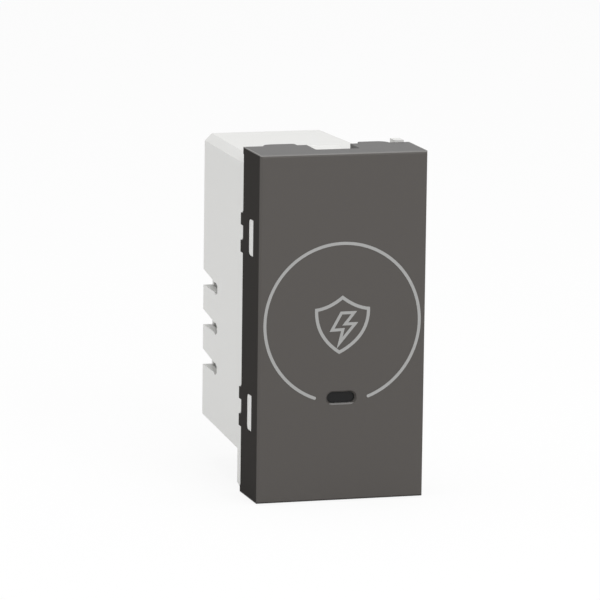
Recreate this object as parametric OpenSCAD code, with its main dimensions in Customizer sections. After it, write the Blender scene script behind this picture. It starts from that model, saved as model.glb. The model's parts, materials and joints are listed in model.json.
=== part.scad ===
// Surge protector module for a 45 mm modular wiring system, in millimetres.
// X runs to the right seen from the front, Y runs into the wall and Z runs up.
// The origin is the middle of the seat plane, where the cover's skirt meets the support frame.
// Inside the modules, depths are counted from the front face; to_seat() moves each piece home.

/* [Front cover] */
// Width of the front cover
cover_w = 22.2; // [21.8:0.1:24]
// Height of the front cover
cover_h = 45; // [44:0.5:48]
// Thickness of the cover's front plate
plate_t = 1.8; // [1.4:0.1:2.2]
// Thickness of the skirt's side walls
skirt_side_t = 0.8; // [0.7:0.05:1]
// Thickness of the skirt's top and bottom walls
skirt_top_t = 0.9; // [0.7:0.05:1.1]
// Depth from the front face to the rim of the skirt's side walls
skirt_d = 7.8; // [7.4:0.1:9]
// How much further back the rim of the top and bottom walls lies, which is the seat
seat_step = 0.25; // [0.1:0.05:0.4]
// Rounding of the front edges
edge_r = 0.3; // [0.1:0.05:0.5]
// Thickness of the two ribs that press on the closing plate
press_rib_t = 0.8; // [0.6:0.1:1.2]
// Width of the two press ribs
press_rib_w = 12; // [8:0.5:14]
// Height of the press ribs above and below the middle
press_rib_z = 12.5; // [12:0.5:14]

/* [Skirt rear edge] */
// How far the lobes of the top and bottom walls stand behind the seat
lobe_rise = 1.35; // [1:0.05:1.6]
// Distance of a lobe's outer end from the middle
lobe_out = 8.4; // [7.6:0.1:8.8]
// Distance of a lobe's inner end from the middle
lobe_in = 4.2; // [3.8:0.05:4.4]
// Radius of a lobe's inner corner
lobe_corner_r = 0.5; // [0.2:0.1:0.8]
// Width of the notch in the middle of the top and bottom walls
notch_w = 5.85; // [5.2:0.05:6.1]
// Depth of the notch from the seat
notch_d = 4.15; // [3:0.05:4.4]
// Distance of the notch and of the gap between the lobes to the right of the middle
notch_x = 0.25; // [0:0.05:0.4]
// Radius in the notch's corners
notch_r = 0.3; // [0.2:0.1:0.6]

/* [Clip windows and teeth] */
// Height of the windows' middles above and below the cover's middle
window_z = 11.35; // [10.5:0.05:13]
// Height of a window
window_h = 4.75; // [4:0.05:5.2]
// Width of a window, along the depth
window_w = 2.25; // [1.8:0.05:2.6]
// Distance of a window's front edge from the front face
window_y = 3.05; // [2.8:0.05:3.4]
// Radius of a window's rear corners
window_r = 0.6; // [0.2:0.1:0.9]
// Gap round a snap lug in its window
lug_gap = 0.05; // [0.03:0.01:0.1]
// How far a snap lug lies below the skirt's outer face
lug_sink = 0.1; // [0.05:0.05:0.4]
// How far the teeth stand behind the rim
tooth_d = 1.1; // [0.6:0.1:1.4]
// Height of a tooth
tooth_h = 1.55; // [1:0.05:1.8]
// Gap between the two teeth behind a window
tooth_gap = 2; // [1.6:0.1:3]

/* [Indicator window] */
// Width of the recess round the lens
aperture_w = 4.1; // [3.6:0.1:5]
// Height of the recess round the lens
aperture_h = 1.85; // [1.7:0.05:2.2]
// Distance of the aperture's middle below the cover's middle
aperture_drop = 9.1; // [8:0.1:10]
// Width of the ledge between the recess and the hole of the lens
ledge_rim = 0.2; // [0.1:0.05:0.3]
// Gap between the lens and the aperture
lens_gap = 0.06; // [0.05:0.01:0.1]
// How far the lens lies behind the front face
lens_sink = 0.5; // [0.3:0.05:0.8]
// Overhang of the lens's flange behind the plate
lens_flange = 0.65; // [0.4:0.05:0.9]
// Thickness of the lens's flange
lens_flange_t = 0.7; // [0.5:0.1:0.9]

/* [Body] */
// Depth from the front face to the body's rear face
body_d = 29.2; // [28.5:0.1:33]
// How far the body's sides lie inside the cover's, at the seat
body_inset = 0.25; // [0.2:0.05:0.35]
// Draft of each side over the body's depth
body_draft = 0.45; // [0.2:0.05:0.5]
// How far the body's top lies below the cover's
body_drop = 1.3; // [1.25:0.05:1.6]
// Height of the box's bottom above the cover's, at the rear
foot_rear = 6.05; // [5.8:0.05:6.6]
// Height of the box's bottom above the cover's, at the flange
foot_front = 5.2; // [4.6:0.05:5.4]
// Thickness of the flange behind the skirt
flange_t = 2.25; // [1.8:0.05:2.8]
// Gap between the seat and the flange
seat_gap = 0.1; // [0.05:0.05:0.2]
// How far the flange's lower left corner lies above the cover's bottom
flange_lift = 0.4; // [0.3:0.05:0.6]
// Width of the chamfer on the top left edge
chamfer_w = 0.95; // [0.5:0.05:1.1]
// Height of the chamfer on the top left edge
chamfer_h = 0.95; // [0.6:0.05:1.1]
// Distance of the step in the top from the middle, at the rear
step_x = 5.3; // [4.6:0.05:5.6]
// How much further out the step lies at the flange
step_draft = 1.1; // [0.4:0.1:1.4]
// Height of the step in the top
step_h = 2.5; // [2:0.1:2.8]
// Thickness of the box's top wall, and of the wall under the step
top_wall = 1.1; // [0.9:0.05:1.3]
// Thickness of the box's bottom wall, at the rear
bottom_wall = 1.15; // [0.9:0.05:1.3]
// Thickness of the rear wall
rear_wall = 1.3; // [1.2:0.05:1.6]
// Thickness of the rim inside the skirt
rim_wall = 0.8; // [0.7:0.05:0.9]
// Gap between the rim and the skirt
rim_gap = 0.15; // [0.1:0.01:0.2]
// Gap between the rim and the cover's plate
rim_front_gap = 0.6; // [0.4:0.05:0.7]

/* [Latch noses] */
// Width of the latch noses at the top and bottom
nose_w = 4.5; // [3.6:0.1:4.8]
// Height of a latch nose above the flange
nose_h = 1; // [0.6:0.05:1.1]
// Distance of a nose's front face behind the flange's
nose_y = 0.4; // [0.2:0.05:0.6]
// Depth of a nose's flat top
nose_flat = 0.4; // [0.2:0.05:0.5]
// Length of a nose's sloped catch face
nose_slope = 0.8; // [0.4:0.05:0.9]
// Width of the key on the flange's top right corner
key_w = 1.3; // [0.8:0.1:1.5]
// Distance of the key from the flange's right side
key_inset = 0.3; // [0.3:0.1:0.8]
// Height of the key above the flange
key_h = 1.5; // [0.8:0.05:1.5]

/* [Wire entries] */
// Height of the first wire entry above the middle
entry_z = 1.55; // [1.4:0.05:2]
// Distance from one wire entry to the next
entry_pitch = 5.35; // [5.25:0.05:5.5]
// Distance of the wires' axes from the rear face
wire_back = 6.6; // [6.4:0.05:6.65]
// Radius of a wire hole
wire_r = 0.8; // [0.7:0.05:0.85]
// Depth of the groove in the side wall and the rear wall
groove_d = 1.4; // [1.3:0.05:1.6]
// Width of the pocket between the side wall and the entry wall
pocket_w = 0.5; // [0.4:0.05:0.6]
// Distance from a wire's axis to the groove's front end
groove_front = 0.9; // [0.85:0.05:1.1]
// How far a groove reaches below the wire's axis, at the rear
groove_low = 0.6; // [0.5:0.05:1]
// How far a groove reaches above the wire's axis, at the rear
groove_high = 1.6; // [1.3:0.05:1.8]
// Half height of a groove at its front end
groove_end = 0.55; // [0.5:0.05:0.75]
// Taper of a groove's floor and roof, height for each unit of depth
groove_taper = 0.12; // [0.05:0.01:0.3]

/* [Clamps] */
// Thickness of the entry wall between a pocket and its clamp chamber
entry_wall = 1; // [0.8:0.05:1.2]
// Width of a clamp cage across the chamber
cage_w = 4.2; // [3.9:0.1:4.3]
// Length of a clamp cage along the wire
cage_l = 4; // [3.8:0.1:4.2]
// Thickness of a cage's side walls
cage_side_t = 0.6; // [0.5:0.05:0.7]
// Thickness of a cage's clamping floor
cage_floor_t = 0.8; // [0.6:0.05:0.9]
// Thickness of a cage's threaded plate
cage_plate_t = 1; // [0.8:0.05:1.1]
// Gap between a cage and its chamber
cage_gap = 0.15; // [0.1:0.01:0.2]
// Room for the wire between an open cage's floor and the contact bar
wire_room = 2; // [1.9:0.05:2.1]
// Travel of a cage from open to closed
cage_travel = 1.4; // [1.2:0.1:1.4]
// Radius of a clamp screw's shank
shank_r = 1.2; // [1:0.05:1.25]
// Running clearance of the shank in the cage, on the radius
thread_gap = 0.05; // [0.03:0.01:0.08]
// Radius of a clamp screw's head
head_r = 1.95; // [1.7:0.05:2]
// Thickness of a clamp screw's head
head_t = 1.25; // [1:0.05:1.3]
// Radius of the driver holes in the rear wall
driver_r = 1.6; // [1.4:0.05:1.65]
// Thickness of the lip round the driver holes
lip_t = 0.7; // [0.5:0.05:0.8]
// Width of the slots in a screw's head
slot_w = 0.5; // [0.4:0.05:0.6]
// Depth of the slots in a screw's head
slot_d = 0.6; // [0.4:0.05:0.7]

/* [Contact bars] */
// Thickness of a contact bar
bar_t = 0.7; // [0.5:0.05:0.8]
// Width of a contact bar
bar_w = 2.6; // [2.2:0.1:2.8]
// Width of a bar's solder tab
tab_w = 1.2; // [0.8:0.1:1.6]
// Distance from a cage to its bar's leg
leg_gap = 0.65; // [0.4:0.05:0.8]

/* [Circuit board] */
// Thickness of the board
board_t = 1.6; // [1:0.1:1.8]
// Gap between the board and the box's walls
board_gap = 0.2; // [0.1:0.05:0.3]
// Thickness of the closing plate in front of the board
closing_t = 1.2; // [1:0.1:1.4]
// Length of the closing plate's posts, which hold the board
post_l = 3; // [2.8:0.1:3.4]
// Width of the posts
post_w = 1.6; // [1.2:0.1:2]
// Depth of the cover's press ribs, from plate to closing plate
press_rib_d = 2.6; // [2.4:0.1:2.8]
// Width of the box's ledges behind the board
ledge_w = 0.9; // [0.8:0.05:1]
// Height of the box's ledges
ledge_h = 1; // [0.8:0.1:1.2]
// Radius of the lead wires
lead_r = 0.35; // [0.3:0.05:0.4]
// Gap round a lead in its hole
lead_gap = 0.15; // [0.1:0.05:0.2]
// How far the leads stand out in front of the board
lead_tail = 0.4; // [0.3:0.05:0.6]
// Gap between the board and the parts on it
stand_off = 0.3; // [0.2:0.05:0.5]

/* [Parts on the board] */
// Half width of the box that the parts below are chosen for
parts_half_w = 9.3; // [9:0.05:9.3]
// Height of the box that the parts below are chosen for
parts_h = 32.8; // [32:0.1:32.8]
// Depth behind the board that the parts below are chosen for
parts_d = 12; // [11:0.1:13]
// Gap between neighbouring parts
part_gap = 0.4; // [0.3:0.05:0.5]
// Radius of a varistor
varistor_r = 4.5; // [4:0.1:4.5]
// Thickness of a varistor
varistor_t = 3.8; // [3.4:0.1:4]
// Distance from one varistor to the next
varistor_pitch = 5.2; // [5:0.1:5.2]
// Distance between a varistor's leads
varistor_leads = 5; // [4:0.5:5.5]
// Radius of the gas discharge tube
tube_r = 2.5; // [2:0.1:2.6]
// Length of the gas discharge tube
tube_l = 4.8; // [4.4:0.1:4.8]
// Radius of a thermal fuse
thermal_r = 1.1; // [0.9:0.05:1.15]
// Length of a thermal fuse
thermal_l = 3.8; // [3.4:0.1:3.8]
// Width, length and depth of the line fuse's box
fuse_box = [3.8, 8, 7.5];
// Width, length and depth of the capacitor's box
capacitor_box = [4.6, 6.4, 8.5];
// Radius of a resistor
resistor_r = 1.1; // [0.9:0.05:1.15]
// Length of a resistor
resistor_l = 4.4; // [4:0.1:4.4]
// Radius of a diode
diode_r = 0.95; // [0.8:0.05:1]
// Length of a diode
diode_l = 3; // [2.6:0.1:3]
// Room for the bend at each end of a lying part
bend_room = 0.9; // [0.8:0.05:1]
// Width, height and depth of the status lamp
lamp_box = [2, 1.3, 0.8];
// Radius of the status lamp's lens
lamp_r = 0.5; // [0.4:0.05:0.6]
// Gap between the light guide and the pieces before and behind it
guide_gap = 0.15; // [0.1:0.05:0.25]
// How much smaller the light guide is than the lens
guide_inset = 0.3; // [0.2:0.05:0.5]

/* [Hidden] */

$fn = 48;
// Overshoot of cuts past a face
cut = 0.5;

// Cover
seat_d = skirt_d + seat_step;
cover_x = cover_w / 2;
cover_z = cover_h / 2;
skirt_x = cover_x - skirt_side_t;
skirt_z = cover_z - skirt_top_t;
aperture_z = -aperture_drop;
hole_w = aperture_w - 2 * ledge_rim;
hole_h = aperture_h - 2 * ledge_rim;
lens_w = hole_w - 2 * lens_gap;
lens_h = hole_h - 2 * lens_gap;

// Body, in depth
flange_y0 = seat_d + seat_gap;
flange_y1 = flange_y0 + flange_t;
cavity_y1 = body_d - rear_wall;
rim_y0 = plate_t + rim_front_gap;

// Body, across and up
body_x0 = cover_x - body_inset;
body_x1 = body_x0 - body_draft;
body_top = cover_z - body_drop;
body_low_rear = foot_rear - cover_z;
body_low_front = foot_front - cover_z;
flange_low = flange_lift - cover_z;
rim_x = skirt_x - rim_gap;
rim_z = skirt_z - rim_gap;
cavity_x = rim_x - rim_wall;
cavity_top = body_top - top_wall;
cavity_low = body_low_rear + bottom_wall;
cavity_step_x = step_x - top_wall;
cavity_step_z = cavity_top - step_h;

// Stack behind the cover's plate
closing_y0 = plate_t + press_rib_d;
closing_y1 = closing_y0 + closing_t;
board_y0 = closing_y1 + post_l;
board_y1 = board_y0 + board_t;
tail_y = board_y0 - lead_tail;
part_y = board_y1 + stand_off;

// Clamps
entries = [for (i = [0:2]) entry_z - i * entry_pitch];
wire_y = body_d - wire_back;
side_x_at_wire = body_x0 - body_draft * (wire_y - flange_y0) / (body_d - flange_y0);
groove_x = side_x_at_wire - groove_d;
groove_margin = 0.6;
pocket_x = cavity_x - pocket_w;
chamber_x = pocket_x - entry_wall;
cage_x1 = chamber_x - cage_gap;
clamp_fit = min(1, cavity_x / parts_half_w);
clamp_l = cage_l * clamp_fit;
bolt_r = shank_r * clamp_fit;
bolt_head_r = head_r * clamp_fit;
tool_r = driver_r * clamp_fit;
cage_x0 = cage_x1 - clamp_l;
screw_x = -(cage_x0 + cage_x1) / 2;
leg_x = -cage_x0 + leg_gap;
cage_y0 = wire_y - wire_room / 2 - cage_floor_t;
bar_y0 = wire_y + wire_room / 2;
bar_y1 = bar_y0 + bar_t;
tip_y = bar_y1 + 0.05;
plate_gap = 0.15;
plate_y0 = bar_y1 + plate_gap;
plate_y1 = plate_y0 + cage_plate_t;
head_y0 = plate_y1 + cage_travel + plate_gap;
head_y1 = head_y0 + head_t;
lip_y = body_d - lip_t;
chamber_y0 = cage_y0 - 0.75;
chamber_half = cage_w / 2 + cage_gap;
partition_x = leg_x + bar_t + 0.4;
well_r = bolt_head_r + cage_gap;

// Parts on the board, smaller where the box is too small for their full size
parts_fit = min(1, cavity_x / parts_half_w, (cavity_step_z - cavity_low) / parts_h,
                (cavity_y1 - board_y1) / parts_d);
disc_r = varistor_r * parts_fit;
disc_t = varistor_t * parts_fit;
disc_pitch = varistor_pitch * parts_fit;
arrester_r = tube_r * parts_fit;
arrester_l = tube_l * parts_fit;
link_r = thermal_r * parts_fit;
link_l = thermal_l * parts_fit;
fuse_size = fuse_box * parts_fit;
capacitor_size = capacitor_box * parts_fit;
ohm_r = resistor_r * parts_fit;
ohm_l = resistor_l * parts_fit;
rectifier_r = diode_r * parts_fit;
rectifier_l = diode_l * parts_fit;
bend = bend_room * parts_fit;
lamp_size = lamp_box * parts_fit;

// Places on the board
side_room = cavity_x - 0.35;
varistor_x = side_room - disc_r;
varistor_y = part_y + disc_r;
varistor_z = [for (i = [0:2]) cavity_step_z - ledge_h - part_gap - disc_t / 2 - i * disc_pitch];
tube_x = side_room - arrester_r - part_gap;
tube_z = varistor_z[2] - disc_t / 2 - part_gap - arrester_l / 2 - bend - lead_r;
thermal_x = varistor_x - disc_r - part_gap - link_r;
thermal_half = link_l / 2 + bend;
thermal_mid = (varistor_z[0] + varistor_z[1]) / 2;
thermal_z = [for (side = [1, -1]) thermal_mid + side * (thermal_half + lead_r + part_gap / 2)];
fuse_x = -side_room + ledge_w + fuse_size[0] / 2;
fuse_z = cavity_top - ledge_h - 2 * part_gap - fuse_size[1] / 2;
capacitor_x = side_room - ledge_w - capacitor_size[0] / 2;
capacitor_z = cavity_low + ledge_h + part_gap + capacitor_size[1] / 2;
resistor_x = capacitor_x - capacitor_size[0] / 2 - part_gap - ohm_r;
resistor_half = ohm_l / 2 + bend;
resistor_z = [for (i = [0:1])
    cavity_low + part_gap + (2 * i + 1) * (resistor_half + lead_r) + i * part_gap];
diode_x = [for (i = [0:1]) -side_room + ledge_w + (2 * i + 1) * rectifier_r + i * part_gap];
diode_half = rectifier_l / 2 + bend;
diode_z = cavity_low + ledge_h + part_gap + diode_half + lead_r;

// Holes of the leads: pairs above and below a lying part, and pairs beside each other
function pair_z(x, z, half) = [[x, z - half], [x, z + half]];
function pair_x(x, z, half) = [[x - half, z], [x + half, z]];
varistor_pins = [for (z = varistor_z) pair_x(varistor_x, z, varistor_leads * parts_fit / 2)];
tube_pins = pair_z(tube_x, tube_z, arrester_l / 2 + bend);
thermal_pins = [for (z = thermal_z) pair_z(thermal_x, z, thermal_half)];
fuse_pins = pair_z(fuse_x, fuse_z, fuse_size[1] * 0.3);
capacitor_pins = pair_z(capacitor_x, capacitor_z, capacitor_size[1] * 0.4);
resistor_pins = [for (z = resistor_z) pair_z(resistor_x, z, resistor_half)];
diode_pins = [for (x = diode_x) pair_z(x, diode_z, diode_half)];
all_pins = concat(varistor_pins[0], varistor_pins[1], varistor_pins[2], tube_pins,
                  thermal_pins[0], thermal_pins[1], fuse_pins, capacitor_pins,
                  resistor_pins[0], resistor_pins[1], diode_pins[0], diode_pins[1]);

// Helpers
module to_seat() {
    translate([0, -seat_d, 0]) children();
}
module block(x0, x1, y0, y1, z0, z1) {
    translate([x0, y0, z0]) cube([x1 - x0, y1 - y0, z1 - z0]);
}
module rod_x(y, z, r, x0, x1) {
    translate([x0, y, z]) rotate([0, 90, 0]) cylinder(h = x1 - x0, r = r);
}
module rod_y(x, z, r, y0, y1) {
    translate([x, y0, z]) rotate([-90, 0, 0]) cylinder(h = y1 - y0, r = r);
}
module rod_z(x, y, r, z0, z1) {
    translate([x, y, z0]) cylinder(h = z1 - z0, r = r);
}
// Profile drawn in Y and Z, extruded from x0 to x1
module along_x(x0, x1) {
    translate([x0, 0, 0]) rotate([90, 0, 90]) linear_extrude(x1 - x0) children();
}
// Profile drawn in X and Z, extruded from y0 to y1
module along_y(y0, y1) {
    translate([0, y1, 0]) rotate([90, 0, 0]) linear_extrude(y1 - y0) children();
}
// Upright slab with round ends, its long side across
module stadium_y(z, w, h, y0, y1) {
    block(-w / 2 + h / 2, w / 2 - h / 2, y0, y1, z - h / 2, z + h / 2);
    for (side = [-1, 1]) rod_y(side * (w / 2 - h / 2), z, h / 2, y0, y1);
}
// A piece and its mirror image across the middle
module both_sides() {
    children();
    mirror([1, 0, 0]) children();
}
module top_and_bottom() {
    children();
    mirror([0, 0, 1]) children();
}

// Front cover
module cover_blank() {
    hull() {
        block(-cover_x + edge_r, cover_x - edge_r, 0, 0.02, -cover_z + edge_r, cover_z - edge_r);
        block(-cover_x + 0.3 * edge_r, cover_x - 0.3 * edge_r, 0.3 * edge_r, 0.3 * edge_r + 0.02,
              -cover_z + 0.3 * edge_r, cover_z - 0.3 * edge_r);
        block(-cover_x, cover_x, edge_r, plate_t, -cover_z, cover_z);
    }
    block(-cover_x, cover_x, plate_t, skirt_d, -cover_z, cover_z);
    top_and_bottom() block(-cover_x, cover_x, plate_t, seat_d, skirt_z, cover_z);
}
module lobe(inner) {
    flat_x0 = inner + lobe_corner_r;
    flat_x1 = lobe_out - lobe_rise;
    block(inner, flat_x1, seat_d, seat_d + lobe_rise - lobe_corner_r, skirt_z, cover_z);
    block(flat_x0, flat_x1, seat_d, seat_d + lobe_rise, skirt_z, cover_z);
    rod_z(flat_x0, seat_d + lobe_rise - lobe_corner_r, lobe_corner_r, skirt_z, cover_z);
    intersection() {
        rod_z(flat_x1, seat_d, lobe_rise, skirt_z, cover_z);
        block(flat_x1, lobe_out + cut, seat_d, seat_d + lobe_rise + cut, skirt_z, cover_z);
    }
}
module edge_notch() {
    floor_y = seat_d - notch_d;
    half = notch_w / 2;
    block(-half, half, floor_y + notch_r, seat_d + lobe_rise, skirt_z - cut, cover_z + cut);
    block(-half + notch_r, half - notch_r, floor_y, seat_d, skirt_z - cut, cover_z + cut);
    both_sides() rod_z(half - notch_r, floor_y + notch_r, notch_r, skirt_z - cut, cover_z + cut);
}
// Clip window with square front corners and round rear ones, shrunk by gap on every side
module window_shape(z, gap, x0, x1) {
    y0 = window_y + gap;
    y1 = window_y + window_w - gap;
    half = window_h / 2 - gap;
    r = window_r;
    block(x0, x1, y0, y1 - r, z - half, z + half);
    block(x0, x1, y0, y1, z - half + r, z + half - r);
    for (side = [-1, 1]) rod_x(y1 - r, z + side * (half - r), r, x0, x1);
}
module teeth(gap, x0, x1) {
    for (side = [-1, 1]) {
        z0 = side * (tooth_gap + tooth_h) / 2 + window_z - tooth_h / 2 - gap;
        block(x0, x1, skirt_d, skirt_d + tooth_d + gap, z0, z0 + tooth_h + 2 * gap);
    }
}
module front_cover() {
    color("#55524d") to_seat() {
        difference() {
            cover_blank();
            block(-skirt_x, skirt_x, plate_t, seat_d + cut, -skirt_z, skirt_z);
            top_and_bottom() translate([notch_x, 0, 0]) edge_notch();
            both_sides() for (side = [-1, 1]) window_shape(side * window_z, 0, skirt_x - cut, cover_x + cut);
            stadium_y(aperture_z, aperture_w, aperture_h, -cut, lens_sink);
            stadium_y(aperture_z, hole_w, hole_h, -cut, plate_t + cut);
        }
        top_and_bottom() {
            lobe(lobe_in + notch_x);
            mirror([1, 0, 0]) lobe(lobe_in - notch_x);
        }
        top_and_bottom() both_sides() teeth(0, skirt_x, cover_x);
        for (side = [-1, 1])
            block(-press_rib_w / 2, press_rib_w / 2, plate_t, closing_y0,
                  side * press_rib_z - press_rib_t / 2, side * press_rib_z + press_rib_t / 2);
    }
}
module indicator_lens() {
    color("#2b2a28") to_seat() {
        stadium_y(aperture_z, lens_w, lens_h, lens_sink, plate_t);
        stadium_y(aperture_z, lens_w + 2 * lens_flange, lens_h + 2 * lens_flange,
                  plate_t, plate_t + lens_flange_t);
    }
}

// Rear housing
module housing_blank() {
    corner_x = lobe_out + 0.25;
    middle_low = -skirt_z + 0.3;
    corner_low = flange_low + 0.35;
    chamfer_turn = atan(body_draft / (body_d - flange_y0));
    difference() {
        intersection() {
            translate([0, 0, -cover_h]) linear_extrude(2 * cover_h)
                polygon([[-body_x0, flange_y0], [body_x0, flange_y0], [body_x1, body_d], [-body_x1, body_d]]);
            along_x(-cover_w, cover_w)
                polygon([[flange_y0, body_top], [body_d, body_top], [body_d, body_low_rear],
                         [flange_y1, body_low_front], [flange_y1, corner_low],
                         [flange_y1 - flange_t * 0.7, flange_low], [flange_y0, flange_low]]);
        }
        // Only the flange's lower left corner reaches behind the skirt's rim
        block(-corner_x, cover_w, flange_y0 - cut, flange_y1 + cut, flange_low - cut, middle_low);
        // The chamfer follows the side's draft
        translate([-body_x0, flange_y0, body_top]) rotate([0, 0, -chamfer_turn])
            along_y(-cut, body_d)
                polygon([[-1, -chamfer_h - chamfer_h / chamfer_w], [chamfer_w, 0], [chamfer_w, 1], [-1, 1]]);
        // The step in the top, right of the middle
        translate([0, 0, body_top - step_h]) linear_extrude(step_h + cut)
            polygon([[step_x + step_draft, flange_y1], [cover_w, flange_y1],
                     [cover_w, body_d + cut], [step_x, body_d + cut]]);
    }
}
module housing_rim() {
    shelf_z = cavity_low - bottom_wall;
    difference() {
        block(-rim_x, rim_x, rim_y0, flange_y0, -rim_z, rim_z);
        block(-cavity_x, cavity_x, rim_y0 - cut, flange_y0, -rim_z + rim_wall, shelf_z);
    }
    both_sides() for (side = [-1, 1])
        window_shape(side * window_z, lug_gap, rim_x - rim_wall / 2, cover_x - lug_sink);
}
module cavity_outline(gap) {
    polygon([[-cavity_x + gap, cavity_low + gap], [cavity_x - gap, cavity_low + gap],
             [cavity_x - gap, cavity_step_z - gap], [cavity_step_x - gap, cavity_step_z - gap],
             [cavity_step_x - gap, cavity_top - gap], [-cavity_x + gap, cavity_top - gap]]);
}
module latch_nose(top_z) {
    y0 = flange_y0 + nose_y;
    along_x(-nose_w / 2, nose_w / 2)
        polygon([[y0, top_z - 0.4], [y0, top_z], [y0 + nose_slope, top_z + nose_h],
                 [y0 + nose_slope + nose_flat, top_z + nose_h], [flange_y1, top_z], [flange_y1, top_z - 0.4]]);
}
module corner_key() {
    x1 = body_x0 - key_inset;
    block(x1 - key_w, x1, flange_y0 + nose_y, flange_y1, body_top - 0.4, body_top + key_h);
}
module wire_groove(z) {
    outside = side_x_at_wire + groove_margin;
    spread = groove_taper * groove_margin;
    pinch = groove_taper * groove_d;
    hull() {
        along_x(-outside - 0.02, -outside)
            polygon([[wire_y - groove_front, z - groove_end], [wire_y - groove_front, z + groove_end + spread],
                     [body_d + cut, z + groove_high + spread], [body_d + cut, z - groove_low]]);
        along_x(-groove_x - 0.02, -groove_x)
            polygon([[wire_y - groove_front, z - groove_end], [wire_y - groove_front, z + groove_end - pinch],
                     [body_d + cut, z + groove_high - pinch], [body_d + cut, z - groove_low]]);
    }
}
module clamp_walls() {
    low = entries[2] - entry_pitch / 2;
    high = entries[0] + entry_pitch / 2;
    block(-pocket_x, -chamber_x, chamber_y0, cavity_y1 + 0.1, low, high);
    block(-cavity_x - 0.1, -chamber_x, chamber_y0, wire_y - groove_front, low, high);
    for (i = [0:3]) {
        z = entry_z + (0.5 - i) * entry_pitch;
        half = entry_pitch / 2 - chamber_half;
        block(-cavity_x - 0.1, partition_x, chamber_y0, cavity_y1 + 0.1, z - half, z + half);
    }
}
module board_ledges() {
    x0 = cavity_x - ledge_w;
    block(-cavity_x - 0.1, -x0, board_y1, cavity_y1 + 0.1, cavity_top - ledge_h, cavity_top + 0.1);
    block(-cavity_x - 0.1, -x0, board_y1, cavity_y1 + 0.1, cavity_low - 0.1, cavity_low + ledge_h);
    block(x0, cavity_x + 0.1, board_y1, cavity_y1 + 0.1, cavity_step_z - ledge_h, cavity_step_z + 0.1);
    block(x0, cavity_x + 0.1, board_y1, cavity_y1 + 0.1, cavity_low - 0.1, cavity_low + ledge_h);
}
module rear_housing() {
    color("#dcdcd8") to_seat() difference() {
        union() {
            difference() {
                union() {
                    housing_blank();
                    housing_rim();
                }
                along_y(rim_y0 - cut, cavity_y1) cavity_outline(0);
            }
            latch_nose(body_top);
            mirror([0, 0, 1]) latch_nose(skirt_z - 0.3);
            corner_key();
            clamp_walls();
            board_ledges();
        }
        top_and_bottom() both_sides() teeth(rim_gap, rim_x, cover_x + cut);
        for (z = entries) {
            wire_groove(z);
            rod_x(wire_y, z, wire_r, -cover_w, -chamber_x + 0.1);
            block(-cavity_x, -pocket_x, cavity_y1 - cut, lip_y, z - chamber_half, z + chamber_half);
            rod_y(screw_x, z, well_r, cavity_y1 - cut, lip_y);
            rod_y(screw_x, z, tool_r, lip_y - cut, body_d + cut);
        }
    }
}

// Closing plate, light guide and lamp
module closing_plate() {
    post_x = cavity_x - board_gap - post_w / 2;
    post_low = cavity_low + board_gap + post_w / 2;
    color("#e6e4dc") to_seat() {
        difference() {
            along_y(closing_y0, closing_y1) cavity_outline(rim_gap);
            stadium_y(aperture_z, lens_w - guide_inset + 2 * guide_gap, lens_h - guide_inset + 2 * guide_gap,
                      closing_y0 - cut, closing_y1 + cut);
        }
        for (p = [[-post_x, cavity_top - board_gap - post_w / 2], [post_x, cavity_step_z - board_gap - post_w / 2],
                  [-post_x, post_low], [post_x, post_low]])
            block(p[0] - post_w / 2, p[0] + post_w / 2, closing_y1, board_y0, p[1] - post_w / 2, p[1] + post_w / 2);
    }
}
module light_guide() {
    w = lens_w - guide_inset;
    h = lens_h - guide_inset;
    y0 = plate_t + lens_flange_t + guide_gap;
    lamp_top = board_y0 - lamp_size[2] - lamp_r;
    color("#cfd8dc") to_seat() {
        stadium_y(aperture_z, w, h, y0, lamp_top - guide_gap);
        stadium_y(aperture_z, w + 2 * lens_flange, h + 2 * lens_flange, closing_y0 - lens_flange_t, closing_y0);
    }
}
module status_lamp() {
    color("#e8e6d0") to_seat() {
        block(-lamp_size[0] / 2, lamp_size[0] / 2, board_y0 - lamp_size[2], board_y0,
              aperture_z - lamp_size[1] / 2, aperture_z + lamp_size[1] / 2);
        intersection() {
            translate([0, board_y0 - lamp_size[2], aperture_z]) sphere(r = lamp_r);
            rod_y(0, aperture_z, lamp_r + cut, board_y0 - lamp_size[2] - lamp_r - cut, board_y0 - lamp_size[2] / 2);
        }
    }
}

// Circuit board and what stands on it
module circuit_board() {
    color("#2f6b3c") to_seat() difference() {
        along_y(board_y0, board_y1) cavity_outline(board_gap);
        for (p = all_pins) rod_y(p[0], p[1], lead_r + lead_gap, board_y0 - cut, board_y1 + cut);
        for (z = entries)
            block(leg_x - lead_gap, leg_x + bar_t + lead_gap, board_y0 - cut, board_y1 + cut,
                  z - tab_w / 2 - lead_gap, z + tab_w / 2 + lead_gap);
    }
}
module pins(points, top_y) {
    for (p = points) rod_y(p[0], p[1], lead_r, tail_y, top_y);
}
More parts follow.
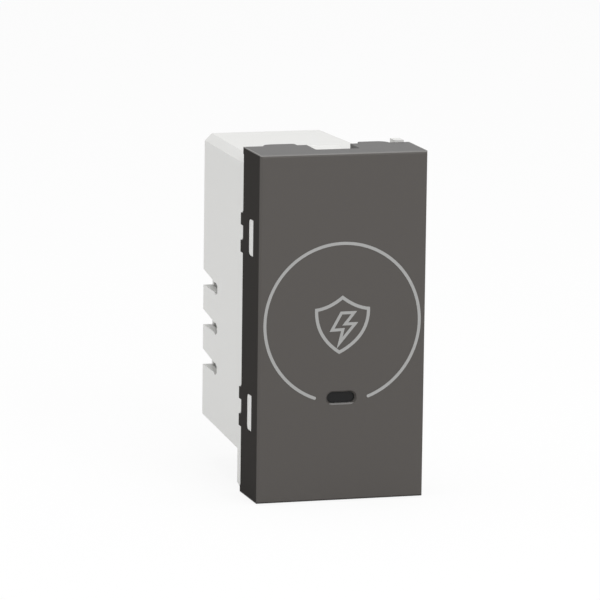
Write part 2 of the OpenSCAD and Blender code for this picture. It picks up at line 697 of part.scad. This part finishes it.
// Part lying along Z on the board, with its two leads bent down
module lying_part(x, z, r, l, points) {
    y = part_y + r;
    rod_z(x, y, r, z - l / 2, z + l / 2);
    rod_z(x, y, lead_r * 0.9, points[0][1], points[1][1]);
    pins(points, y + lead_r);
}
module varistor(i) {
    lead_top = part_y + disc_r * 0.6;
    to_seat() {
        rod_z(varistor_x, varistor_y, disc_r, varistor_z[i] - disc_t / 2, varistor_z[i] + disc_t / 2);
        pins(varistor_pins[i], lead_top);
    }
}
module varistor_line_neutral() {
    color("#2d5f9a") varistor(0);
}
module varistor_line_earth() {
    color("#2d5f9a") varistor(1);
}
module varistor_neutral_earth() {
    color("#2d5f9a") varistor(2);
}
module gas_discharge_tube() {
    cap_l = arrester_l / 6;
    color("#d8cfc0") to_seat() {
        lying_part(tube_x, tube_z, arrester_r, arrester_l, tube_pins);
        for (side = [-1, 1]) {
            middle = tube_z + side * (arrester_l - cap_l) / 2;
            rod_z(tube_x, part_y + arrester_r, arrester_r + 0.1, middle - cap_l / 2, middle + cap_l / 2);
        }
    }
}
module thermal_fuse_line() {
    color("#c9a24a") to_seat() lying_part(thermal_x, thermal_z[0], link_r, link_l, thermal_pins[0]);
}
module thermal_fuse_neutral() {
    color("#c9a24a") to_seat() lying_part(thermal_x, thermal_z[1], link_r, link_l, thermal_pins[1]);
}
module box_part(x, z, size, points) {
    block(x - size[0] / 2, x + size[0] / 2, board_y1, board_y1 + size[2], z - size[1] / 2, z + size[1] / 2);
    pins(points, board_y1 + 1);
}
module line_fuse() {
    color("#3a3a3c") to_seat() box_part(fuse_x, fuse_z, fuse_size, fuse_pins);
}
module supply_capacitor() {
    color("#b6402f") to_seat() box_part(capacitor_x, capacitor_z, capacitor_size, capacitor_pins);
}
module lamp_resistors() {
    color("#c8b08a") to_seat() for (i = [0:1])
        lying_part(resistor_x, resistor_z[i], ohm_r, ohm_l, resistor_pins[i]);
}
module lamp_diodes() {
    color("#2a2a2a") to_seat() for (i = [0:1])
        lying_part(diode_x[i], diode_z, rectifier_r, rectifier_l, diode_pins[i]);
}

// Clamps: contact bar, rising cage and screw of each terminal
module contact_bar(z) {
    color("#c9a75a") to_seat() {
        block(-cage_x1 + 0.2, leg_x + bar_t, bar_y0, bar_y1, z - bar_w / 2, z + bar_w / 2);
        block(leg_x, leg_x + bar_t, board_y1, bar_y1, z - bar_w / 2, z + bar_w / 2);
        block(leg_x, leg_x + bar_t, tail_y, board_y1, z - tab_w / 2, z + tab_w / 2);
    }
}
module clamp_cage(z) {
    color("#b9bcc0") to_seat() difference() {
        block(-cage_x1, -cage_x0, cage_y0, plate_y1, z - cage_w / 2, z + cage_w / 2);
        block(-cage_x1 - cut, -cage_x0 + cut, cage_y0 + cage_floor_t, plate_y0,
              z - cage_w / 2 + cage_side_t, z + cage_w / 2 - cage_side_t);
        rod_y(screw_x, z, bolt_r + thread_gap, plate_y0 - cut, plate_y1 + cut);
    }
}
module clamp_screw(z) {
    color("#d0d2d4") to_seat() difference() {
        union() {
            rod_y(screw_x, z, bolt_r, tip_y, head_y0 + 0.1);
            rod_y(screw_x, z, bolt_head_r, head_y0, head_y1);
        }
        block(screw_x - bolt_head_r - cut, screw_x + bolt_head_r + cut, head_y1 - slot_d, head_y1 + cut,
              z - slot_w / 2, z + slot_w / 2);
        block(screw_x - slot_w / 2, screw_x + slot_w / 2, head_y1 - slot_d, head_y1 + cut,
              z - bolt_head_r * 0.6, z + bolt_head_r * 0.6);
    }
}
module contact_bar_line() { contact_bar(entries[0]); }
module contact_bar_neutral() { contact_bar(entries[1]); }
module contact_bar_earth() { contact_bar(entries[2]); }
module clamp_cage_line() { clamp_cage(entries[0]); }
module clamp_cage_neutral() { clamp_cage(entries[1]); }
module clamp_cage_earth() { clamp_cage(entries[2]); }
module clamp_screw_line() { clamp_screw(entries[0]); }
module clamp_screw_neutral() { clamp_screw(entries[1]); }
module clamp_screw_earth() { clamp_screw(entries[2]); }

front_cover();
indicator_lens();
rear_housing();
closing_plate();
light_guide();
status_lamp();
circuit_board();
varistor_line_neutral();
varistor_line_earth();
varistor_neutral_earth();
gas_discharge_tube();
thermal_fuse_line();
thermal_fuse_neutral();
line_fuse();
supply_capacitor();
lamp_resistors();
lamp_diodes();
contact_bar_line();
contact_bar_neutral();
contact_bar_earth();
clamp_cage_line();
clamp_cage_neutral();
clamp_cage_earth();
clamp_screw_line();
clamp_screw_neutral();
clamp_screw_earth();
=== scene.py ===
"""Looks of a snap-in surge protector module: anthracite cover with a printed pictogram, light grey body."""

import json
import math

import bmesh
import bpy
from mathutils import Matrix, Vector


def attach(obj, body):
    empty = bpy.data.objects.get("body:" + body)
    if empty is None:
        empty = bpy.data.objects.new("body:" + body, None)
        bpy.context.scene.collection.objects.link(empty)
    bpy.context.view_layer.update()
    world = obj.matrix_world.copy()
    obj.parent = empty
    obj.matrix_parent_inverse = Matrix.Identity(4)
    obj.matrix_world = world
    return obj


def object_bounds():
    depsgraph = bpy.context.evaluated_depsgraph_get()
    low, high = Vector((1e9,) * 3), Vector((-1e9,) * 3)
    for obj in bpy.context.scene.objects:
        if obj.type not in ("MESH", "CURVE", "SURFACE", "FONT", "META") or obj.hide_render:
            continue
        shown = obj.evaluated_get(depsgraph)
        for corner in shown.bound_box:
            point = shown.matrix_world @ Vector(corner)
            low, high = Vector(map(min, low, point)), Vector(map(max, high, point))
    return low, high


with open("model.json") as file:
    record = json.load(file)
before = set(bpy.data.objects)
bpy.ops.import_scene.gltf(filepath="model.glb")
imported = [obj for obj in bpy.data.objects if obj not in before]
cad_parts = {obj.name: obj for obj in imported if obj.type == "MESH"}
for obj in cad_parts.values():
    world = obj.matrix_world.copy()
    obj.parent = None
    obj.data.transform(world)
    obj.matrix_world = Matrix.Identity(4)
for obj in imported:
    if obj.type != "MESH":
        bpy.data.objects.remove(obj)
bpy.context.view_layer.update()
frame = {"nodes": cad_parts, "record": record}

MM = 0.001
SEAT = 8.05 * MM  # depth of the seat plane behind the front face, which lies at y = -SEAT
FRONT_Y = -SEAT
HALF_W = 11.1 * MM  # half width of the cover
HALF_H = 22.5 * MM
CHAMBER_LEFT, CHAMBER_RIGHT = -8.33 * MM, -2.5 * MM  # the space of the clamps inside the housing, where the housing is painted dark as shade
CHAMBER_FRONT, CHAMBER_BACK = 10.0 * MM, 20.4 * MM
CHAMBER_BOTTOM, CHAMBER_TOP = -12.0 * MM, 4.3 * MM
LENS_Z = -9.1 * MM  # height of the indicator lens

# Tones of the cover, by place; some edges are lightened as a painted highlight
SKIRT_START, SKIRT_BLEND = 0.30 * MM, 0.06 * MM  # from the front face to the darker skirt plastic
INNER_X, INNER_Z = 4 * MM, 20 * MM  # nearer the middle than both lies the lens recess, in lacquer
SIDE_SKIN = 0.05 * MM  # depth of the dull outer sides
TOP_EDGE, BOTTOM_EDGE = 0.12 * MM, 0.20 * MM  # heights of the top edge, lightened as a painted highlight, and of the dark bottom edge
CORNER_X, CORNER_Z = 0.16 * MM, 0.10 * MM  # the line between side and top, lightened as a painted highlight
LIP_DROP, LIP_DEPTH = 0.70 * MM, 0.03 * MM  # the lower lip of the lens recess, lightened as a painted highlight

# Print on the front
PRINT_LIFT = 0.02 * MM
STROKE, SHIELD_STROKE, BOLT_STROKE = 0.40 * MM, 0.42 * MM, 0.38 * MM  # of the ring, the shield and the bolt
RING_Z = 0.64 * MM
RING_RADIUS = 10.29 * MM
RING_GAP = math.radians(20.4)  # half of the gap at the bottom

# Camera, from the cover's edges in the photo
LOOK_AT = Vector((-5.682 * MM, FRONT_Y, 3.829 * MM))
AZIMUTH = math.radians(-16.510)
ELEVATION = math.radians(10.186)
ROLL = math.radians(0.735)
DISTANCE = 637.30 * MM
FOCAL_PX = 5011.6
SENSOR = 36.0
FRAME_PX = 600

# Studio
WORLD_LIGHT = 0.62
FLOOR_WHITE = 0.88  # share of plain white in what the camera sees of the floor; the rest keeps the shadow
RAYS_THAT_SEE_WHITE = ("Camera", "Glossy", "Transmission")


# Shader kit
MIX_LOW, MIX_HIGH, MIX_RESULT = 6, 7, 2  # the Mix node's colour sockets, which share their names with others


class Sock:
    """A node's output, so that shader maths reads as plain arithmetic."""

    def __init__(self, tree, out):
        self.tree = tree
        self.out = out

    def math(self, operation, other=None, swap=False, clamp=False):
        node = self.tree.nodes.new("ShaderNodeMath")
        node.operation = operation
        node.use_clamp = clamp
        terms = [self] if other is None else ([other, self] if swap else [self, other])
        for socket, term in zip(node.inputs, terms):
            plug(self.tree, socket, term)
        return Sock(self.tree, node.outputs[0])

    def __add__(self, other):
        return self.math("ADD", other)

    def __radd__(self, other):
        return self.math("ADD", other, swap=True)

    def __sub__(self, other):
        return self.math("SUBTRACT", other)

    def __rsub__(self, other):
        return self.math("SUBTRACT", other, swap=True)

    def __mul__(self, other):
        return self.math("MULTIPLY", other)

    def __rmul__(self, other):
        return self.math("MULTIPLY", other, swap=True)

    def __gt__(self, other):
        return self.math("GREATER_THAN", other)

    def __lt__(self, other):
        return self.math("LESS_THAN", other)

    def clamped(self):
        return self.math("ADD", 0.0, clamp=True)


def plug(tree, socket, value):
    """Links a Sock to a socket, or writes a plain value on it."""
    if isinstance(value, Sock):
        tree.links.new(value.out, socket)
    elif isinstance(value, (tuple, list)) and len(value) == 3 and socket.type == "RGBA":
        socket.default_value = (*value, 1.0)
    else:
        socket.default_value = value


class Finish:
    """One material: a Principled shader with plain values on its sockets, and the nodes that vary it."""

    def __init__(self, name, **sockets):
        self.material = bpy.data.materials.new(name)
        self.material.use_nodes = True
        self.tree = self.material.node_tree
        self.shader = self.tree.nodes["Principled BSDF"]
        self.set(**sockets)

    def set(self, **sockets):
        for key, value in sockets.items():
            plug(self.tree, self.shader.inputs[key.replace("_", " ")], value)

    def node(self, kind, output=0, settings=None, **sockets):
        node = self.tree.nodes.new(kind)
        for key, value in (settings or {}).items():
            setattr(node, key, value)
        for key, value in sockets.items():
            plug(self.tree, node.inputs[key.replace("_", " ")], value)
        return Sock(self.tree, node.outputs[output])

    def place(self):
        return self.node("ShaderNodeTexCoord", output="Object")

    def axes(self):
        """The place as three values: across, depth and height."""
        place = self.place()
        return [self.node("ShaderNodeSeparateXYZ", output=axis, Vector=place) for axis in "XYZ"]

    def grain(self, scale, height, detail=3.0):
        """Fine moulded grain: a bump of the given height, in metres."""
        noise = self.node("ShaderNodeTexNoise", Vector=self.place(), Scale=scale, Detail=detail,
                          Roughness=0.6)
        self.set(Normal=self.node("ShaderNodeBump", Height=noise, Distance=height, Strength=1.0))
        return noise


def plain(name, colour, roughness, metallic=0.0, grain=None, **more):
    finish = Finish(name, Base_Color=colour, Roughness=roughness, Metallic=metallic, **more)
    if grain:
        finish.grain(*grain)
    return finish


def mix_colour(finish, mask, low, high):
    node = finish.tree.nodes.new("ShaderNodeMix")
    node.data_type = "RGBA"
    plug(finish.tree, node.inputs["Factor"], mask)
    plug(finish.tree, node.inputs[MIX_LOW], low)
    plug(finish.tree, node.inputs[MIX_HIGH], high)
    return Sock(finish.tree, node.outputs[MIX_RESULT])


# Finishes
LACQUER = (0.079, 0.073, 0.068)
SKIRT_PLASTIC = (0.034, 0.0315, 0.0295)
PAINTED_EDGE_HIGHLIGHT = (0.20, 0.195, 0.19)  # painted highlight: a lighter colour along edges, standing in for the light they catch


def cover_finish():
    """Warm anthracite lacquer on the front and its edges, darker moulded plastic on the skirt, and painted
    highlights: a lighter colour along the top edge, the side-top corner and the lower lip of the lens
    recess.
    """
    finish = Finish("cover_anthracite", Specular_IOR_Level=0.0, Coat_Roughness=0.4)
    noise = finish.grain(5200, 0.000004)
    across, depth, height = finish.axes()
    out_x = across.math("ABSOLUTE")
    out_z = height.math("ABSOLUTE")
    behind = ((depth - (FRONT_Y + SKIRT_START)) * (1 / SKIRT_BLEND)).clamped()
    away = ((out_x > INNER_X) + (out_z > INNER_Z)).clamped()
    skirt = behind * away
    outer_side = skirt * (out_x > HALF_W - SIDE_SKIN)
    top_edge = (height > HALF_H - TOP_EDGE) * (1.0 - behind)
    side_edge = (out_z > HALF_H - CORNER_Z) * (out_x > HALF_W - CORNER_X) * behind
    lip = (1.0 - away) * (height < LENS_Z - LIP_DROP) * (depth > FRONT_Y + LIP_DEPTH)
    bottom_edge = (height < BOTTOM_EDGE - HALF_H) * (1.0 - behind)
    # painted highlight: the top edge, the side-top corner and the lower lip of the lens recess get a lighter
    # colour in place of the light they catch
    edge = (top_edge + side_edge + lip).clamped()
    tone = mix_colour(finish, (skirt + bottom_edge).clamped(), LACQUER, SKIRT_PLASTIC)
    tone = mix_colour(finish, edge, tone, PAINTED_EDGE_HIGHLIGHT)
    finish.set(Base_Color=tone, Roughness=0.55 + noise * 0.06)
    finish.set(Coat_Weight=(0.35 + skirt * 0.55 - outer_side * 0.85).clamped())
    return finish


def housing_finish():
    """Light grey moulding, with painted shade: a dark colour inside the clamp space behind its openings."""
    finish = Finish("housing_light_grey")
    noise = finish.grain(3800, 0.000005)
    across, depth, height = finish.axes()
    inside = (across > CHAMBER_LEFT) * (across < CHAMBER_RIGHT)
    inside = inside * (depth > CHAMBER_FRONT) * (depth < CHAMBER_BACK)
    inside = inside * (height > CHAMBER_BOTTOM) * (height < CHAMBER_TOP)
    # painted shade: the housing inside the clamp space is coloured dark, as if in shadow
    finish.set(Base_Color=mix_colour(finish, inside, (0.69, 0.69, 0.675), (0.08, 0.08, 0.078)))
    finish.set(Roughness=0.46 + noise * 0.1)
    return finish


FINISHES = {
    "cover_anthracite": cover_finish(),
    "housing_light_grey": housing_finish(),
    "lens_smoke": plain("lens_smoke", (0.012, 0.012, 0.012), 0.16, Specular_IOR_Level=0.15),
    "guide_clear": plain("guide_clear", (0.75, 0.78, 0.80), 0.08),
    "lamp_body": plain("lamp_body", (0.80, 0.78, 0.68), 0.2),
    "board_green": plain("board_green", (0.03, 0.13, 0.05), 0.35),
    "varistor_blue": plain("varistor_blue", (0.03, 0.12, 0.36), 0.3, grain=(900, 0.00002)),
    "tube_nickel": plain("tube_nickel", (0.62, 0.60, 0.56), 0.3, metallic=0.9),
    "fuse_cream": plain("fuse_cream", (0.62, 0.50, 0.28), 0.35),
    "component_black": plain("component_black", (0.03, 0.03, 0.03), 0.45),
    "capacitor_red": plain("capacitor_red", (0.45, 0.06, 0.04), 0.35),
    "resistor_beige": plain("resistor_beige", (0.55, 0.42, 0.26), 0.4),
    "brass_bar": plain("brass_bar", (0.70, 0.52, 0.20), 0.32, metallic=1.0),
    "zinc_steel": plain("zinc_steel", (0.60, 0.61, 0.62), 0.34, metallic=1.0, grain=(2600, 0.000004)),
}
PRINT_GREY = plain("print_grey", (0.30, 0.30, 0.295), 0.5)

for part in frame["record"]["subparts"]:
    materials = frame["nodes"][part["node"]].data.materials
    materials.clear()
    materials.append(FINISHES[part["material_slot"]].material)


# New pieces: the print on the front and the lens bevel
SORT_WEIGHTS = Vector((577.0, 1313.0, 291.0))  # sorts faces by place, so that each run gives the same order


def finished(name, bm, finish):
    """Turns a bmesh into a piece that rides on the module."""
    bmesh.ops.recalc_face_normals(bm, faces=bm.faces)
    bm.faces.sort(key=lambda face: face.calc_center_median().dot(SORT_WEIGHTS))
    mesh = bpy.data.meshes.new(name)
    bm.to_mesh(mesh)
    bm.free()
    piece = bpy.data.objects.new(name, mesh)
    bpy.context.scene.collection.objects.link(piece)
    mesh.materials.append(finish.material)
    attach(piece, "module")


def raise_print(bm):
    """Gives the flat print its thickness, from the front face outwards."""
    raised = bmesh.ops.extrude_face_region(bm, geom=bm.faces[:])["geom"]
    moved = [v for v in raised if isinstance(v, bmesh.types.BMVert)]
    bmesh.ops.translate(bm, verts=moved, vec=(0, -PRINT_LIFT, 0))


def printed_ring():
    centre = Vector((0, FRONT_Y, RING_Z))
    bm = bmesh.new()
    rim = [bm.verts.new(centre - Vector((0, 0, RING_RADIUS + k * STROKE / 2))) for k in (-1, 0, 1)]
    edges = [bm.edges.new(pair) for pair in zip(rim, rim[1:])]
    bmesh.ops.rotate(bm, verts=rim, cent=centre, matrix=Matrix.Rotation(RING_GAP, 3, "Y"))
    bmesh.ops.spin(bm, geom=[*rim, *edges], cent=centre, axis=(0, 1, 0),
                   angle=2 * math.pi - 2 * RING_GAP, steps=160, use_duplicate=False)
    for side in (-1, 1):
        turn = Matrix.Rotation(side * RING_GAP, 3, "Y")
        middle = centre + turn @ Vector((0, 0, -RING_RADIUS))
        outer = centre + turn @ Vector((0, 0, -RING_RADIUS - STROKE / 2))
        spoke = [bm.verts.new(middle), bm.verts.new(outer)]
        bmesh.ops.spin(bm, geom=[*spoke, bm.edges.new(spoke)], cent=middle, axis=(0, 1, 0),
                       angle=-side * math.pi, steps=10, use_duplicate=False)
    bmesh.ops.remove_doubles(bm, verts=bm.verts[:], dist=0.001 * MM)
    raise_print(bm)
    finished("printed_ring", bm, PRINT_GREY)


def closed_line(name, points, stroke):
    """A closed line of even width inside a flat outline, whose points are (across, up) in millimetres."""
    bm = bmesh.new()
    shape = bm.faces.new([bm.verts.new((x * MM, FRONT_Y, z * MM)) for x, z in points])
    bm.normal_update()
    bmesh.ops.inset_individual(bm, faces=[shape], thickness=stroke, use_even_offset=True)
    bmesh.ops.delete(bm, geom=[shape], context="FACES_ONLY")
    raise_print(bm)
    finished(name, bm, PRINT_GREY)


def arc_between(start, pull, end, steps):
    """Points of a smooth bend from start to end, drawn towards pull, without its last point."""
    a, b, c = Vector(start), Vector(pull), Vector(end)
    fractions = [i / steps for i in range(steps)]
    return [tuple(a * (1 - t) ** 2 + b * 2 * t * (1 - t) + c * t * t) for t in fractions]


def printed_shield():
    apex, shoulder, tip = (0, 4.21), (3.66, 2.59), (-0.38, -3.39)
    far_shoulder = (-shoulder[0], shoulder[1])
    points = arc_between(apex, (1.8, 2.75), shoulder, 8)
    points += arc_between(shoulder, (3.85, -1.35), tip, 14)
    points += arc_between(tip, (-3.85, -1.15), far_shoulder, 14)
    points += arc_between(far_shoulder, (-1.8, 2.75), apex, 8)
    closed_line("printed_shield", points, SHIELD_STROKE)


def printed_bolt():
    points = [(-0.25, 2.12), (1.95, 2.12), (0.78, 0.68), (2.12, 0.68),
              (-0.72, -2.68), (-0.16, -0.42), (-1.70, -0.46)]
    closed_line("printed_bolt", points, BOLT_STROKE)


def lens_bevel():
    """The sloped rim of the recess round the lens: a ring in the recess, its front face falling inwards."""
    bm = bmesh.new()
    half_flat, half_height = 1.125 * MM, 0.915 * MM
    width, depth, fall = 0.19 * MM, 0.48 * MM, 0.30 * MM
    arc = [math.radians(a) for a in range(-90, 91, 10)]
    right = [(half_flat + half_height * math.cos(a), LENS_Z + half_height * math.sin(a)) for a in arc]
    outline = right + [(-x, z) for x, z in reversed(right)]
    shape = bm.faces.new([bm.verts.new((x, FRONT_Y, z)) for x, z in outline])
    bm.normal_update()
    bmesh.ops.inset_individual(bm, faces=[shape], thickness=width, use_even_offset=True)
    inner = shape.verts[:]
    bmesh.ops.delete(bm, geom=[shape], context="FACES_ONLY")
    back = bmesh.ops.extrude_face_region(bm, geom=bm.faces[:])["geom"]
    moved = [v for v in back if isinstance(v, bmesh.types.BMVert)]
    bmesh.ops.translate(bm, verts=moved, vec=(0, depth, 0))
    bmesh.ops.translate(bm, verts=inner, vec=(0, fall, 0))
    finished("lens_bevel", bm, FINISHES["cover_anthracite"])


printed_ring()
printed_shield()
printed_bolt()
lens_bevel()


# Camera, floor and light
def studio_camera():
    camera = bpy.data.objects.new("camera", bpy.data.cameras.new("camera"))
    bpy.context.scene.collection.objects.link(camera)
    camera.data.sensor_width = SENSOR
    camera.data.lens = FOCAL_PX / FRAME_PX * SENSOR
    camera.data.clip_start = 0.05
    back = Vector((math.sin(AZIMUTH) * math.cos(ELEVATION), -math.cos(AZIMUTH) * math.cos(ELEVATION),
                   math.sin(ELEVATION)))
    turn = back.to_track_quat("Z", "Y").to_matrix().to_4x4() @ Matrix.Rotation(ROLL, 4, "Z")
    camera.matrix_world = Matrix.Translation(LOOK_AT + back * DISTANCE) @ turn
    bpy.context.scene.camera = camera


def area_light(name, place, aim, size, watts):
    light = bpy.data.lights.new(name, "AREA")
    light.shape = "SQUARE"
    light.size = size
    light.energy = watts
    lamp = bpy.data.objects.new(name, light)
    bpy.context.scene.collection.objects.link(lamp)
    away = Vector(place) - Vector(aim)
    lamp.matrix_world = Matrix.Translation(place) @ away.to_track_quat("Z", "Y").to_matrix().to_4x4()


def white_to_camera(tree, shader, strength, surface):
    """Shows plain white to the camera, in reflections and through glass, and keeps the shader elsewhere."""
    path = tree.nodes.new("ShaderNodeLightPath")
    camera, glossy, through = (Sock(tree, path.outputs[f"Is {kind} Ray"]) for kind in RAYS_THAT_SEE_WHITE)
    share = (camera + glossy + through).clamped() * strength
    glow = tree.nodes.new("ShaderNodeEmission" if surface else "ShaderNodeBackground")
    glow.inputs["Color"].default_value = (1, 1, 1, 1)
    mixer = tree.nodes.new("ShaderNodeMixShader")
    plug(tree, mixer.inputs[0], share)
    tree.links.new(shader.outputs[0], mixer.inputs[1])
    tree.links.new(glow.outputs[0], mixer.inputs[2])
    return mixer


def studio_world():
    world = bpy.data.worlds.new("studio")
    world.use_nodes = True
    bpy.context.scene.world = world
    tree = world.node_tree
    sky = tree.nodes["Background"]
    sky.inputs["Color"].default_value = (1, 1, 1, 1)
    sky.inputs["Strength"].default_value = WORLD_LIGHT
    mixer = white_to_camera(tree, sky, 1.0, surface=False)
    tree.links.new(mixer.outputs[0], tree.nodes["World Output"].inputs["Surface"])


def studio_floor():
    bm = bmesh.new()
    level = Matrix.Translation((0, 0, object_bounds()[0][2] - 0.1 * MM))
    bmesh.ops.create_grid(bm, x_segments=1, y_segments=1, size=6.0, matrix=level)
    mesh = bpy.data.meshes.new("floor")
    bm.to_mesh(mesh)
    bm.free()
    floor = bpy.data.objects.new("floor", mesh)
    bpy.context.scene.collection.objects.link(floor)
    paper = plain("floor_paper", (0.86, 0.86, 0.86), 0.9)
    tree = paper.tree
    mixer = white_to_camera(tree, paper.shader, FLOOR_WHITE, surface=True)
    tree.links.new(mixer.outputs[0], tree.nodes["Material Output"].inputs["Surface"])
    mesh.materials.append(paper.material)


bpy.context.scene.view_settings.view_transform = "Standard"
studio_camera()
studio_world()
studio_floor()
area_light("top_light", (0.1, -0.1, 0.9), (0, 0, 0), 0.7, 2.8)
area_light("front_light", (0.06, -0.38, 0.24), (0, 0, 0), 0.3, 0.9)
area_light("left_light", (-0.9, 0.2, 0.25), (0, 0, 0), 0.7, 1.35)
